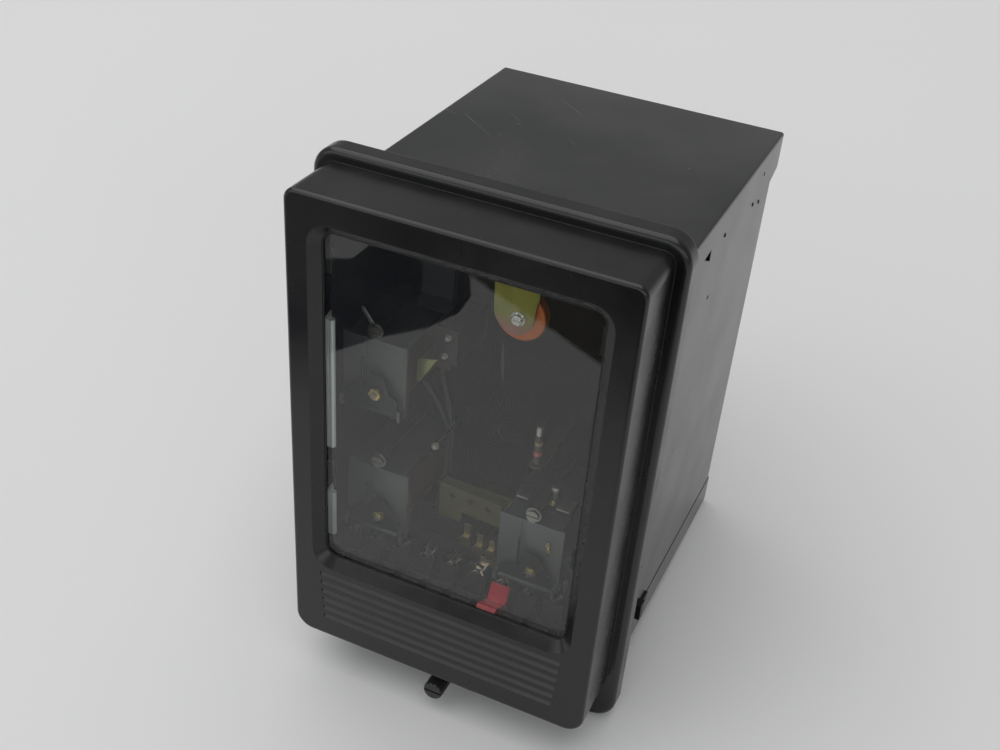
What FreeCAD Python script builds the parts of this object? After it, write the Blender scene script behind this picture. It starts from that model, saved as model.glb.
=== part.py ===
import FreeCAD, Part

import math
import os

from FreeCAD import Vector

# A multi-element protective relay in a semi-flush drawout case with knife-blade test switches.
# Millimetres.  +Z is up, the front looks along -Y.  The origin is the centre of the panel-mounting
# face: y = 0 is the plane that meets the panel, the cover stands in front of it (y < 0) and the
# case passes through the panel behind it (y > 0).

# ---- driving dimensions -------------------------------------------------------------------------
FLANGE_W = 168.3
FLANGE_H = 267.2
FLANGE_T = 10.6
FLANGE_R = 12.0
COVER_HALF_W = 78.1
COVER_Z0 = -113.9
COVER_Z1 = 128.0
COVER_R_BOTTOM = 9.3
COVER_R_TOP = 5.6
COVER_DEPTH = 42.4
COVER_WALL = 2.8
FACE_WALL = 3.0

WINDOW_HALF_W = 67.4
WINDOW_Z0 = -68.2
WINDOW_Z1 = 115.5
WINDOW_R = 11.0
BEVEL = 4.8

RIB_COUNT = 6
RIB_PITCH = 5.5
RIB_HALF_W = 63.4
RIB_GROOVE_W = 2.6
RIB_GROOVE_D = 1.3

CASE_HALF_W = 77.1
CASE_HALF_H = 114.3
CASE_DEPTH = 169.2
SIDE_DEPTH = 156.7
SHEET = 1.9
SEAM_Z = -95.2
SEAM_GAP = 1.8
SEAM_Y = 30.5
TRAY_DEPTH = 160.0

RING_T = 2.0
RING_HALF_W = 80.6
RING_HALF_H = 130.2
PANEL_HOLE_X = 60.0
PANEL_HOLE_Z = 122.5
PANEL_HOLE_R = 2.6

SCREW_Z = -124.1
SCREW_R = 5.0
SCREW_SHANK_R = 2.4

SWITCH_COUNT = 10
SWITCH_PITCH = 14.0
SWITCH_X0 = -68.0
PIVOT_Y = -2.0
PIVOT_Z = -100.0
PIN_R = 1.5
BLADE_T = 1.6
BLADE_W = 8.0
BLADE_TOP = -75.0
BLADE_FRONT = 0.7
HANDLE_W = 10.0
CRADLE_Z = -74.4
CRADLE_R = 3.2
RUN_CLEAR = 0.06

UNIT_W = 32.6
UNIT_H = 38.5
UNIT_FACE_Y = -7.0
UNITS = (("upper", -53.0, 27.4), ("lower_left", -50.3, -44.3), ("lower_right", 31.2, -44.8))
CORE_DX = 3.4
CORE_RISE = 9.8
ARMATURE_W = 27.0
ARMATURE_Y = -11.4

PLATE_Y = 42.0
CHASSIS_Z0 = -73.0
CHASSIS_Z1 = 105.6
CHASSIS_HALF_W = 72.0
CHASSIS_DEPTH = 132.0
BOARD_Y = 151.0

FRONT_Y = -COVER_DEPTH
GLASS_T = 3.0
GASKET_T = 0.8
RIM_Y = FRONT_Y + BEVEL
GLASS_Y0 = RIM_Y + GASKET_T
GLASS_Y1 = GLASS_Y0 + GLASS_T

X = Vector(1, 0, 0)
Y = Vector(0, 1, 0)
Z = Vector(0, 0, 1)


# ---- helpers ------------------------------------------------------------------------------------
def box(x0, x1, y0, y1, z0, z1):
    return Part.makeBox(x1 - x0, y1 - y0, z1 - z0, Vector(x0, y0, z0))


def rod(x, y, z, radius, length, axis):
    return Part.makeCylinder(radius, length, Vector(x, y, z), axis)


def rounded_wire(x0, x1, z0, z1, y, r_low, r_high):
    """Closed rounded rectangle in the plane y, with its own radius at the lower and upper corners."""
    k = 1 - math.sqrt(0.5)
    corners = (
        (x1, z0, -1, 1, r_low),
        (x1, z1, -1, -1, r_high),
        (x0, z1, 1, -1, r_high),
        (x0, z0, 1, 1, r_low),
    )
    starts = []
    arcs = []
    for i, (cx, cz, sx, sz, r) in enumerate(corners):
        along_x = Vector(cx + sx * r, y, cz)
        along_z = Vector(cx, y, cz + sz * r)
        middle = Vector(cx + sx * r * k, y, cz + sz * r * k)
        first, last = (along_x, along_z) if i % 2 == 0 else (along_z, along_x)
        arcs.append(Part.Arc(first, middle, last).toShape())
        starts.append((first, last))
    edges = []
    for i in range(4):
        edges.append(arcs[i])
        edges.append(Part.makeLine(starts[i][1], starts[(i + 1) % 4][0]))
    return Part.Wire(edges)


def rounded_slab(x0, x1, z0, z1, y0, y1, r_low, r_high=None):
    r_high = r_low if r_high is None else r_high
    face = Part.Face(rounded_wire(x0, x1, z0, z1, y0, r_low, r_high))
    return face.extrude(Vector(0, y1 - y0, 0))


def prism(points, depth):
    """Solid from a closed outline of (x, y, z) points, pushed along the vector depth."""
    path = [Vector(*p) for p in points]
    path.append(path[0])
    return Part.Face(Part.makePolygon(path)).extrude(Vector(*depth))


def edges_at(shape, test):
    return [e for e in shape.Edges if test(e)]


def fillet_where(shape, radius, test):
    picked = edges_at(shape, test)
    return shape.makeFillet(radius, picked) if picked else shape


def on_plane_y(y, tol=1e-4):
    def test(edge):
        bb = edge.BoundBox
        return abs(bb.YMin - y) < tol and abs(bb.YMax - y) < tol

    return test


def fuse_all(shapes):
    out = shapes[0].multiFuse(list(shapes[1:])) if len(shapes) > 1 else shapes[0]
    return out.removeSplitter()


def mirrored(shape):
    return shape.mirror(Vector(0, 0, 0), X)


def write(name, shapes):
    shape = shapes[0] if len(shapes) == 1 else Part.makeCompound(shapes)
    shape.exportStep("parts/" + name + ".step")


def switch_x(index):
    """Centre of test switch 1..SWITCH_COUNT, counted from the left."""
    return SWITCH_X0 + (index - 1) * SWITCH_PITCH


# ---- cover --------------------------------------------------------------------------------------
def cover_frame():
    half_f = FLANGE_W / 2
    flange = rounded_slab(-half_f, half_f, -FLANGE_H / 2, FLANGE_H / 2, -FLANGE_T, 0, FLANGE_R)
    flange = fillet_where(flange, 3.0, on_plane_y(-FLANGE_T))
    flange = fillet_where(flange, 0.8, on_plane_y(0))
    front = rounded_slab(
        -COVER_HALF_W, COVER_HALF_W, COVER_Z0, COVER_Z1, FRONT_Y, -FLANGE_T + 4, COVER_R_BOTTOM, COVER_R_TOP
    )
    front = fillet_where(front, 1.9, on_plane_y(FRONT_Y))
    body = flange.fuse(front)
    inner = COVER_HALF_W - COVER_WALL
    hollow = rounded_slab(
        -inner, inner, COVER_Z0 + COVER_WALL, COVER_Z1 - COVER_WALL, FRONT_Y + FACE_WALL, 1, 6.5, 3.0
    )
    recess = rounded_slab(
        -half_f + COVER_WALL, half_f - COVER_WALL, -FLANGE_H / 2 + COVER_WALL, FLANGE_H / 2 - COVER_WALL,
        -FLANGE_T + COVER_WALL, 1, FLANGE_R - COVER_WALL,
    )
    body = body.cut(hollow).cut(recess)
    rim = rounded_slab(
        -WINDOW_HALF_W - 1.6, WINDOW_HALF_W + 1.6, WINDOW_Z0 - 1.6, WINDOW_Z1 + 1.6,
        FRONT_Y + FACE_WALL - 0.5, RIM_Y, WINDOW_R,
    )
    body = body.fuse(rim)
    # stiffening ribs inside the four walls
    for sx in (-1, 1):
        for z in (-80, -20, 40, 100):
            x0 = inner - 0.7 if sx > 0 else -inner - 1
            body = body.fuse(box(x0, x0 + 1.7, FRONT_Y + 2.5, -12, z, z + 2))
    # bevelled window
    outer = rounded_wire(-WINDOW_HALF_W, WINDOW_HALF_W, WINDOW_Z0, WINDOW_Z1, FRONT_Y, WINDOW_R, WINDOW_R)
    deep = rounded_wire(
        -WINDOW_HALF_W + BEVEL, WINDOW_HALF_W - BEVEL, WINDOW_Z0 + BEVEL, WINDOW_Z1 - BEVEL, RIM_Y,
        WINDOW_R - BEVEL, WINDOW_R - BEVEL,
    )
    bevel = Part.makeLoft([outer, deep], True, True)
    through = rounded_slab(
        -WINDOW_HALF_W + BEVEL, WINDOW_HALF_W - BEVEL, WINDOW_Z0 + BEVEL, WINDOW_Z1 - BEVEL,
        RIM_Y - 0.01, RIM_Y + 5, WINDOW_R - BEVEL,
    )
    body = body.cut(bevel).cut(through)
    # grip grooves under the window
    for i in range(RIB_COUNT):
        z = WINDOW_Z0 - 4.4 - i * RIB_PITCH
        taper = 0.35 * i
        half = RIB_HALF_W - taper
        groove = prism(
            (
                (-half, FRONT_Y - 0.2, z + RIB_GROOVE_W * 0.35),
                (-half, FRONT_Y + RIB_GROOVE_D, z),
                (-half, FRONT_Y - 0.2, z - RIB_GROOVE_W * 0.9),
            ),
            (2 * half, 0, 0),
        )
        body = body.cut(groove)
    # clearance for the cover screw's shank and its boss
    body = body.cut(rod(0, -FLANGE_T - 1, SCREW_Z, SCREW_SHANK_R + 0.3, FLANGE_T + 2, Y))
    return body.removeSplitter()


def window_glass():
    grow = 2.4
    return rounded_slab(
        -WINDOW_HALF_W + BEVEL - grow, WINDOW_HALF_W - BEVEL + grow, WINDOW_Z0 + BEVEL - grow,
        WINDOW_Z1 - BEVEL + grow, GLASS_Y0, GLASS_Y1, WINDOW_R - BEVEL + grow,
    )


def glass_gasket():
    grow = 3.4
    outer = rounded_slab(
        -WINDOW_HALF_W + BEVEL - grow, WINDOW_HALF_W - BEVEL + grow, WINDOW_Z0 + BEVEL - grow,
        WINDOW_Z1 - BEVEL + grow, RIM_Y, GLASS_Y1, WINDOW_R - BEVEL + grow,
    )
    inner = rounded_slab(
        -WINDOW_HALF_W + BEVEL + 0.5, WINDOW_HALF_W - BEVEL - 0.5, WINDOW_Z0 + BEVEL + 0.5,
        WINDOW_Z1 - BEVEL - 0.5, RIM_Y - 1, GLASS_Y1 + 1, WINDOW_R - BEVEL - 0.5,
    )
    return outer.cut(inner).cut(window_glass())


def glass_clips():
    """Four bent spring clips that hold the glass to the back of the window rim."""
    clips = []
    reach = WINDOW_HALF_W - BEVEL + 3.4
    for sx in (-1, 1):
        for z in (-15, 96):
            strip = box(reach - 6, reach + 4.0, GLASS_Y1, GLASS_Y1 + 0.8, z - 6, z + 6)
            leg = box(reach + 3.2, reach + 4.0, FRONT_Y + FACE_WALL, GLASS_Y1 + 0.8, z - 6, z + 6)
            clip = strip.fuse(leg).removeSplitter()
            clips.append(clip if sx > 0 else mirrored(clip))
    return clips


def cover_screw():
    """Long knurled captive screw at the bottom of the cover."""
    length = COVER_DEPTH - FLANGE_T - 0.3
    knob = rod(0, FRONT_Y - 0.1, SCREW_Z, SCREW_R, length + 0.1, Y)
    knob = knob.makeFillet(0.9, edges_at(knob, on_plane_y(FRONT_Y - 0.1)))
    flutes = 12
    for i in range(flutes):
        a = 2 * math.pi * i / flutes
        px = math.cos(a) * (SCREW_R + 0.25)
        pz = SCREW_Z + math.sin(a) * (SCREW_R + 0.25)
        knob = knob.cut(rod(px, FRONT_Y - 1, pz, 0.6, length - 4, Y))
    knob = knob.cut(box(-SCREW_R - 1, SCREW_R + 1, FRONT_Y - 1, FRONT_Y + 1.1, SCREW_Z - 0.6, SCREW_Z + 0.6))
    shank = rod(0, FRONT_Y + length - 1, SCREW_Z, SCREW_SHANK_R, -(FRONT_Y + length - 1) - 0.3, Y)
    return knob.fuse(shank).removeSplitter()


# ---- case ---------------------------------------------------------------------------------------
def case_flange():
    ring = rounded_slab(-RING_HALF_W, RING_HALF_W, -RING_HALF_H, RING_HALF_H, -RING_T, 0, 8.5)
    ring = ring.cut(box(-CASE_HALF_W, CASE_HALF_W, -5, 5, -CASE_HALF_H, CASE_HALF_H))
    for sx in (-1, 1):
        for sz in (-1, 1):
            ring = ring.cut(rod(sx * PANEL_HOLE_X, -5, sz * PANEL_HOLE_Z, PANEL_HOLE_R, 10, Y))
    boss = rod(0, -6.6, SCREW_Z, 4.4, 6.6 - RING_T, Y)
    ring = ring.fuse(boss)
    return ring.cut(rod(0, -8, SCREW_Z, SCREW_SHANK_R + RUN_CLEAR, 10, Y)).removeSplitter()


def case_shell():
    """Top and sides bent from one sheet, with ears at the rear top corners."""
    top_z = CASE_HALF_H
    side = (
        (-RING_T, -top_z),
        (SEAM_Y - 0.6, -top_z),
        (SEAM_Y - 0.6, SEAM_Z),
        (SIDE_DEPTH, SEAM_Z),
        (SIDE_DEPTH, 92.6),
        (CASE_DEPTH - 0.6, 96.4),
        (CASE_DEPTH - 0.6, top_z - 1),
        (-RING_T, top_z - 1),
    )
    outline = [(CASE_HALF_W - SHEET, y, z) for y, z in side]
    right = prism(outline, (SHEET, 0, 0))
    sharp = box(-CASE_HALF_W, CASE_HALF_W, -RING_T, CASE_DEPTH, top_z - SHEET, top_z)
    shell = fuse_all([sharp, right, mirrored(right)])
    shell = fillet_where(
        shell, 1.6,
        lambda e: abs(e.BoundBox.ZMin - top_z) < 1e-4 and abs(abs(e.BoundBox.XMin) - CASE_HALF_W) < 1e-4
        and abs(e.BoundBox.XMax - e.BoundBox.XMin) < 1e-4,
    )
    gusset = ((51.4, 102.0), (41.9, 100.9), (52.0, 95.9))
    shell = shell.cut(prism([(-100, y, z) for y, z in gusset], (200, 0, 0)))
    shell = shell.cut(box(-100, 100, 60.0, 63.4, 72.6, 73.8))
    for y in (20.0, 138.0):
        shell = shell.cut(rod(-100, y, 104.0, 1.2, 200, X))
    return shell


def case_bottom():
    """Bottom tray whose turned-up edges close the lower part of the sides."""
    inner = CASE_HALF_W - SHEET
    floor = box(-inner, inner, -RING_T, SEAM_Y, -CASE_HALF_H, -CASE_HALF_H + SHEET)
    rear = box(-CASE_HALF_W, CASE_HALF_W, SEAM_Y, TRAY_DEPTH, -CASE_HALF_H, -CASE_HALF_H + SHEET)
    strip_top = SEAM_Z - SEAM_GAP
    strips = []
    for sx in (-1, 1):
        x0 = CASE_HALF_W - SHEET if sx > 0 else -CASE_HALF_W
        strips.append(box(x0, x0 + SHEET, SEAM_Y, TRAY_DEPTH, -CASE_HALF_H, strip_top))
    tray = fuse_all([floor, rear] + strips)
    tray = fillet_where(
        tray, 1.4,
        lambda e: abs(e.BoundBox.ZMax + CASE_HALF_H) < 1e-4
        and abs(abs(e.BoundBox.XMin) - CASE_HALF_W) < 1e-4
        and abs(e.BoundBox.XMax - e.BoundBox.XMin) < 1e-4,
    )
    for y in (56.0, 92.0, 128.0):
        for x in (-50.0, -25.0, 0.0, 25.0, 50.0):
            tray = tray.cut(box(x - 6, x + 6, y - 1.5, y + 1.5, -CASE_HALF_H - 1, -CASE_HALF_H + 3))
    return tray


def case_back():
    """Moulded terminal board that closes the rear, with two rows of stud holes."""
    inner = CASE_HALF_W - SHEET
    board = box(-inner, inner, BOARD_Y, SIDE_DEPTH - 0.2, SEAM_Z + 0.5, CASE_HALF_H - SHEET)
    for x, z in terminal_places():
        board = board.cut(rod(x, BOARD_Y - 1, z, 2.4, 10, Y))
        ring = rod(x, SIDE_DEPTH - 1.4, z, 6.4, 5, Y).cut(rod(x, SIDE_DEPTH - 3, z, 5.0, 8, Y))
        board = board.cut(ring)
    for z in (-60.0, 8.6, 77.0):
        board = board.cut(box(-34, 34, BOARD_Y - 1, SIDE_DEPTH + 1, z - 2, z + 2))
    lower = box(-inner, inner, BOARD_Y, SIDE_DEPTH - 0.2, -CASE_HALF_H + SHEET, SEAM_Z - 0.4)
    link = box(-inner, inner, BOARD_Y, SIDE_DEPTH - 0.2, SEAM_Z - 0.4, SEAM_Z + 0.5)
    return fuse_all([board, lower, link])


def terminal_places():
    places = []
    for sx in (-1, 1):
        for i in range(SWITCH_COUNT):
            z = -81.0 + i * 19.0
            x = sx * (57.0 if i % 2 else 44.0)
            places.append((x, z))
    return places


def terminal_studs():
    studs = []
    for x, z in terminal_places():
        stud = rod(x, BOARD_Y - 9, z, 2.4, CASE_DEPTH - 1.2 - BOARD_Y + 9, Y)
        head = rod(x, BOARD_Y - 9, z, 4.5, 3.0, Y)
        studs.append(stud.fuse(head).removeSplitter())
    return studs


def hexagon(x, y, z, across, length):
    r = across / math.sqrt(3)
    points = [
        (x + r * math.cos(math.pi / 3 * i), y, z + r * math.sin(math.pi / 3 * i)) for i in range(6)
    ]
    return prism(points, (0, length, 0))


def terminal_nuts():
    nuts = []
    for x, z in terminal_places():
        nut = hexagon(x, SIDE_DEPTH - 0.2, z, 8.0, 3.6)
        washer = rod(x, SIDE_DEPTH + 3.4, z, 4.9, 0.9, Y)
        second = hexagon(x, SIDE_DEPTH + 4.3, z, 8.0, 3.6)
        hole = rod(x, SIDE_DEPTH - 2, z, 2.4, 20, Y)
        nuts.append(fuse_all([nut, washer, second]).cut(hole))
    return nuts


def case_clips():
    """Small spring catches that lock the tray to the sides at the front end of each seam."""
    x0 = CASE_HALF_W
    tongue = box(x0, x0 + 1.2, 31.0, 46.0, SEAM_Z - SEAM_GAP - 2.6, SEAM_Z + 1.4)
    hook = box(x0, x0 + 2.6, 31.0, 36.0, SEAM_Z - SEAM_GAP - 4.0, SEAM_Z + 4.2)
    clip = tongue.fuse(hook).removeSplitter()
    return [clip, mirrored(clip)]


# ---- test switches ------------------------------------------------------------------------------
def switch_base():
    """Moulded sill with a row of ears that carry the switches' common hinge rod."""
    half = 74.6
    sill = box(-70.0, 70.0, -9.0, 26.0, -110.4, -106.4)
    back = box(-half, half, 8.0, 26.0, -110.6, -103.0)
    ears = []
    for x, thick, low in ear_places():
        ear = box(x - thick / 2, x + thick / 2, PIVOT_Y - 3.2, 9.0, low, PIVOT_Z)
        crown = rod(x - thick / 2, PIVOT_Y, PIVOT_Z, 3.2, thick, X)
        ears += [ear, crown]
    base = fuse_all([sill, back] + ears)
    return base.cut(rod(-90, PIVOT_Y, PIVOT_Z, PIN_R, 180, X))


def ear_places():
    """(x, thickness, lowest z) of each ear: one outside each end switch and one in every gap."""
    places = [(-73.95, 1.5, -106.4)]
    for i in range(1, SWITCH_COUNT + 1):
        places.append((SWITCH_X0 + (i - 0.5) * SWITCH_PITCH, 2.6, -107.0))
    return places


def switch_pin():
    x0 = -74.6
    x1 = SWITCH_X0 + (SWITCH_COUNT - 0.5) * SWITCH_PITCH + 2.2
    return rod(x0, PIVOT_Y, PIVOT_Z, PIN_R, x1 - x0, X)


def blade_blank(x, thickness):
    r = BLADE_W / 2
    x0 = x - thickness / 2
    tip_r = (r - BLADE_FRONT) / 2
    tip_z = BLADE_TOP - tip_r
    foot = rod(x0, PIVOT_Y, PIVOT_Z, r, thickness, X)
    stem = box(x0, x0 + thickness, PIVOT_Y + BLADE_FRONT, PIVOT_Y + r, PIVOT_Z, tip_z)
    tip = rod(x0, PIVOT_Y + BLADE_FRONT + tip_r, tip_z, tip_r, thickness, X)
    return fuse_all([foot, stem, tip])


def switch_blade(index):
    x = switch_x(index)
    blade = blade_blank(x, BLADE_T)
    return blade.cut(rod(x - 5, PIVOT_Y, PIVOT_Z, PIN_R + RUN_CLEAR, 10, X))


def switch_handle(index):
    """Finger grip moulded round the front of a blade, with a lip that rises forward like a beak."""
    x = switch_x(index)
    half = HANDLE_W / 2
    outline = (
        (3.0, 4.6), (-7.0, 4.6), (-9.4, 9.0), (-17.5, 17.0), (-18.7, 20.7), (-15.9, 22.3),
        (-4.6, 15.4), (0.0, 23.0), (0.7, 22.6), (0.7, 11.6), (3.0, 10.8),
    )
    grip = prism([(x - half, PIVOT_Y + dy, PIVOT_Z + dz) for dy, dz in outline], (HANDLE_W, 0, 0))
    grip = fillet_where(
        grip, 0.8,
        lambda e: e.BoundBox.XLength > HANDLE_W - 0.1 and e.BoundBox.YMax < PIVOT_Y - 9.0,
    )
    return grip.cut(blade_blank(x, BLADE_T))


def jaw_block():
    """Moulded block on the chassis that holds one jaw for every switch."""
    half = 73.4
    block = box(-half, half, 8.0, 30.0, -92.0, -78.0)
    ledge = box(-70.0, 70.0, 18.0, 30.0, -78.0, -70.0)
    block = block.fuse(ledge)
    for i in range(1, SWITCH_COUNT):
        x = SWITCH_X0 + (i - 0.5) * SWITCH_PITCH
        block = block.fuse(box(x - 1.0, x + 1.0, 4.5, 8.0, -91.0, -79.0))
    return block.removeSplitter()


def switch_jaws():
    """For each blade a pair of sprung leaves, a mounting foot and an open cradle above them."""
    jaws = []
    gap = BLADE_T / 2 + RUN_CLEAR
    leaf_t = 0.9
    for index in range(1, SWITCH_COUNT + 1):
        x = switch_x(index)
        leaves = []
        for s in (-1, 1):
            a = x + s * gap
            b = x + s * (gap + leaf_t)
            lip = x + s * (gap + 2.9)
            lip_in = x + s * (gap + 2.2)
            profile = (
                (a, 8.0), (a, 1.2), (lip_in, -1.0), (lip, -0.6), (b, 1.5), (b, 8.0),
            )
            leaves.append(prism([(px, py, -88.0) for px, py in profile], (0, 0, 11.1)))
        outer = gap + leaf_t
        foot = box(x - outer, x + outer, 6.4, 8.0, -88.0, -79.0)
        cradle = rod(x, 2.4, CRADLE_Z, CRADLE_R, 5.6, Y).cut(rod(x, 2.0, CRADLE_Z, CRADLE_R - 0.8, 7.0, Y))
        cradle = cradle.cut(box(x - 5, x + 5, 2.0, 9.0, CRADLE_Z, CRADLE_Z + 5))
        jaws.append(fuse_all(leaves + [foot, cradle]))
    return jaws


# ---- chassis ------------------------------------------------------------------------------------
def chassis_frame():
    """Folded mounting plate with a side cheek at each edge, a top shelf and a bottom shelf."""
    half = CHASSIS_HALF_W
    plate = box(-half, half, PLATE_Y, PLATE_Y + 2.0, CHASSIS_Z0, CHASSIS_Z1)
    cheeks = []
    for x0 in (-half, half - 1.6):
        outline = (
            (-14.0, CHASSIS_Z0), (CHASSIS_DEPTH, CHASSIS_Z0), (CHASSIS_DEPTH, CHASSIS_Z1),
            (4.0, CHASSIS_Z1), (-14.0, 90.0),
        )
        cheeks.append(prism([(x0, y, z) for y, z in outline], (1.6, 0, 0)))
    top = box(-half, half, 4.0, CHASSIS_DEPTH, CHASSIS_Z1 - 1.6, CHASSIS_Z1)
    low = box(-half, half, 31.0, CHASSIS_DEPTH, CHASSIS_Z0, CHASSIS_Z0 + 1.6)
    frame = fuse_all([plate, top, low] + cheeks)
    for x, z in ((-6.0, 60.0), (-6.0, -20.0), (58.0, 20.0)):
        frame = frame.cut(rod(x, PLATE_Y - 5, z, 5.0, 20, Y))
    return frame


def guide_strips():
    """Plated strips with rounded noses on the cheeks' front edges; they guide the chassis in its case."""
    strips = []
    for sx in (-1, 1):
        for z0, z1 in ((-71.0, -41.5), (-16.7, 57.0)):
            outline = (
                (-17.2, z0 + 1.6), (-17.2, z1 - 1.6), (-12.0, z1), (-4.0, z1), (-4.0, z0), (-12.0, z0),
            )
            strip = prism([(CHASSIS_HALF_W, y, z) for y, z in outline], (2.2, 0, 0))
            nose = rod(CHASSIS_HALF_W - 0.9, -15.7, z0 + 1.6, 1.6, z1 - z0 - 3.2, Z)
            strip = strip.fuse(nose).removeSplitter()
            strips.append(strip if sx > 0 else mirrored(strip))
    return strips


def latch_arm(x, z, up):
    """Cam latch: a lever on a cross pin, with a cam nose at the pin and a turned-out finger end."""
    s = 1 if up else -1
    width = 15.0
    x0 = x - width / 2
    outline = (
        (-4.6, -3.0 * s), (-1.0, -4.4 * s), (2.6, -3.0 * s), (3.0, 1.0 * s), (-1.4, 4.6 * s),
        (-1.6, 19.0 * s), (-7.4, 22.6 * s), (-8.8, 21.4 * s), (-4.0, 17.6 * s), (-3.8, 4.0 * s),
    )
    arm = prism([(x0, LATCH_Y + dy, z + dz) for dy, dz in outline], (width, 0, 0))
    return arm.cut(rod(x0 - 1, LATCH_Y, z, 1.5 + RUN_CLEAR, width + 2, X))


LATCH_Y = -6.5
LATCHES = (("latch_top", -22.0, 97.0, False), ("latch_bottom", 60.0, -56.0, True))


def latch_pins():
    """Each latch's cross pin, with the two ears that hold it."""
    pieces = []
    for _, x, z, up in LATCHES:
        pin = rod(x - 10.2, LATCH_Y, z, 1.5, 20.4, X)
        ears = []
        for s in (-1, 1):
            x0 = x + s * 9.0 - 1.0
            ears.append(box(x0, x0 + 2.0, LATCH_Y - 3.0, PLATE_Y, z - 3.0, z + 3.0))
        pieces.append(fuse_all([pin] + ears))
    return pieces


# ---- clapper units ------------------------------------------------------------------------------
def unit_frame(x, z):
    """U-shaped magnet frame: front plate, yoke over the coil and a foot on the mounting plate."""
    half = UNIT_W / 2
    z0 = z - UNIT_H / 2
    z1 = z + UNIT_H / 2
    face = box(x - half, x + half, UNIT_FACE_Y - 1.6, UNIT_FACE_Y, z0, z1)
    yoke = box(x - half + 2, x + half - 2, UNIT_FACE_Y, PLATE_Y, z1 - 3.0, z1)
    foot = box(x - half + 2, x + half - 2, PLATE_Y - 3.0, PLATE_Y, z0 + 2, z1)
    for s in (-1, 1):
        ear_x = x + s * (ARMATURE_W / 2 + 1.6)
        ear = box(ear_x - 0.8, ear_x + 0.8, ARMATURE_Y - 1.8, UNIT_FACE_Y, z0 + 0.6, z0 + 6.4)
        face = face.fuse(ear)
    frame = fuse_all([face, yoke, foot])
    core_z = unit_core_z(z)
    frame = frame.cut(rod(x + CORE_DX, UNIT_FACE_Y - 5, core_z, 3.6, 60, Y))
    frame = frame.cut(box(x - 5.2, x - 4.6, UNIT_FACE_Y - 1.7, UNIT_FACE_Y - 1.2, core_z + 8.0, z1 + 1))
    pin_z = z0 + 3.4
    return frame.cut(rod(x - 30, ARMATURE_Y, pin_z, 1.0, 60, X))


def unit_core_z(z):
    return z - UNIT_H / 2 + 3.4 + CORE_RISE


def unit_coil(x, z):
    """Bobbin with a former, two cheeks and the winding between them."""
    cz = unit_core_z(z)
    x = x + CORE_DX
    y0 = UNIT_FACE_Y + 0.4
    y1 = PLATE_Y - 3.4
    winding = rod(x, y0 + 1.6, cz, 11.0, y1 - y0 - 3.2, Y)
    front = box(x - 13, x + 13, y0, y0 + 1.6, cz - 11.8, cz + 11.8)
    rear = box(x - 13, x + 13, y1 - 1.6, y1, cz - 11.8, cz + 11.8)
    lugs = [box(x + s * 9 - 1, x + s * 9 + 1, y1 - 1.6, y1, cz - 15.5, cz - 11.8) for s in (-1, 1)]
    coil = fuse_all([winding, front, rear] + lugs)
    return coil.cut(rod(x, y0 - 1, cz, 3.8, 60, Y))


def unit_cores():
    """Pole cores: a thick shaft through the coil and a thin threaded nose for the stop nut."""
    cores = []
    for _, x, z in UNITS:
        cz = unit_core_z(z)
        x = x + CORE_DX
        shaft = rod(x, UNIT_FACE_Y - 1.9, cz, 3.6, PLATE_Y - UNIT_FACE_Y + 1.9, Y)
        nose = rod(x, ARMATURE_Y - 4.6, cz, 1.4, UNIT_FACE_Y - ARMATURE_Y + 4, Y)
        cores.append(shaft.fuse(nose).removeSplitter())
    return cores


def unit_nuts():
    """Brass stop nuts on the core noses, in front of the armatures."""
    nuts = []
    for _, x, z in UNITS:
        cz = unit_core_z(z)
        x = x + CORE_DX
        nut = hexagon(x, ARMATURE_Y - 3.6, cz, 5.4, 1.9)
        collar = rod(x, ARMATURE_Y - 1.7, cz, 2.3, 0.5, Y)
        nuts.append(nut.fuse(collar).cut(rod(x, ARMATURE_Y - 8, cz, 1.4, 12, Y)).removeSplitter())
    return nuts


def unit_screws():
    """Pan-head screws over the front plates."""
    screws = []
    for _, x, z in UNITS:
        zc = z + UNIT_H / 2 + 4.2
        head = rod(x, UNIT_FACE_Y - 3.0, zc, 3.1, 1.8, Y)
        washer = rod(x, UNIT_FACE_Y - 1.2, zc, 3.9, 0.6, Y)
        shank = rod(x, UNIT_FACE_Y - 1.0, zc, 1.6, PLATE_Y - UNIT_FACE_Y + 1.0, Y)
        screw = fuse_all([head, washer, shank])
        screws.append(screw.cut(box(x - 4, x + 4, UNIT_FACE_Y - 4, UNIT_FACE_Y - 2.2, zc - 0.4, zc + 0.4)))
    return screws


def unit_armature(x, z):
    """Hump-backed clapper on pivots at its lower edge, with a post that works the contact."""
    z0 = z - UNIT_H / 2
    pin_z = z0 + 3.4
    half = ARMATURE_W / 2
    y = ARMATURE_Y - 0.8
    outline = (
        (-half, 0.6), (half, 0.6), (half, 7.6), (9.0, 10.7), (7.8, 16.0), (4.8, 18.2),
        (-0.6, 19.4), (-1.6, 17.3), (-4.2, 11.9), (-half, 7.2),
    )
    hump = prism([(x + dx, y, pin_z + dz) for dx, dz in outline], (0, 1.6, 0))
    knuckle = rod(x - half, ARMATURE_Y, pin_z, 1.9, ARMATURE_W, X)
    pins = rod(x - half - 2.2, ARMATURE_Y, pin_z, 1.0 - RUN_CLEAR, ARMATURE_W + 4.4, X)
    post = rod(x - 4.2, y - 0.1, pin_z + 9.5, 0.75, 16.5, Z)
    plate = fuse_all([hump, knuckle, pins, post])
    cz = unit_core_z(z)
    return plate.cut(rod(x + CORE_DX, y - 2, cz, 2.0, 6, Y))


# ---- parts mounted on the chassis ---------------------------------------------------------------
DISC_X = 10.0
DISC_Y = 6.0
DISC_Z = 71.0
DISC_R = 12.0


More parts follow.
